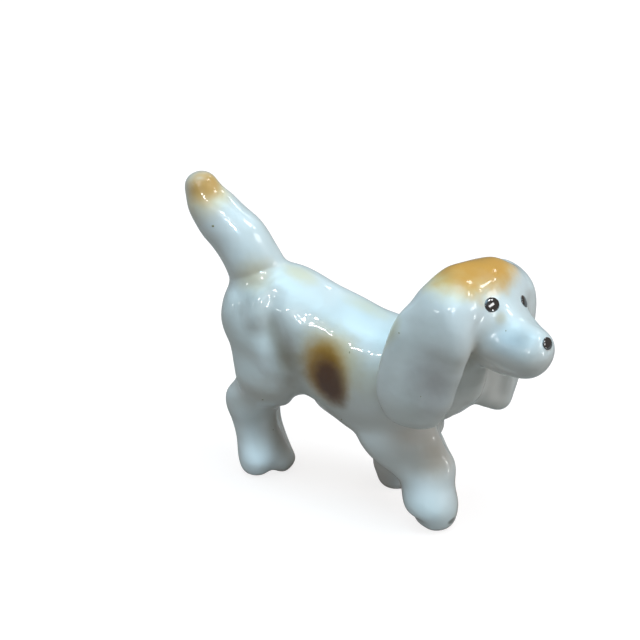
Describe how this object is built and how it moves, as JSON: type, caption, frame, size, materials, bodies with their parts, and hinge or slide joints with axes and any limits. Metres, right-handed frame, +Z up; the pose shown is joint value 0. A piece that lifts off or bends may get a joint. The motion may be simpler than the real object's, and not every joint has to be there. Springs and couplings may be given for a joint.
{
  "type": "dog figurine",
  "caption": "Small glazed porcelain dog with long drooping ears, standing with its head turned to one side and its tail raised.",
  "frame": {"origin": "middle of the bounding box at floor level, between the four soles", "axes": "+X along the body towards the nose end, +Y to the dog's left, +Z up; the head is turned from +X towards -Y"},
  "size_m": [0.0777, 0.0311, 0.0665],
  "materials": {
    "white_glaze": "gloss",
    "black_enamel": "gloss"
  },
  "bodies": {
    "root": {"torso": "white_glaze", "head": "white_glaze", "right_ear": "white_glaze", "left_ear": "white_glaze", "tail": "white_glaze", "front_right_leg": "white_glaze", "front_left_leg": "white_glaze", "hind_right_leg": "white_glaze", "hind_left_leg": "white_glaze", "right_eye": "black_enamel", "left_eye": "black_enamel", "nose": "black_enamel"}
  },
  "joints": []
}
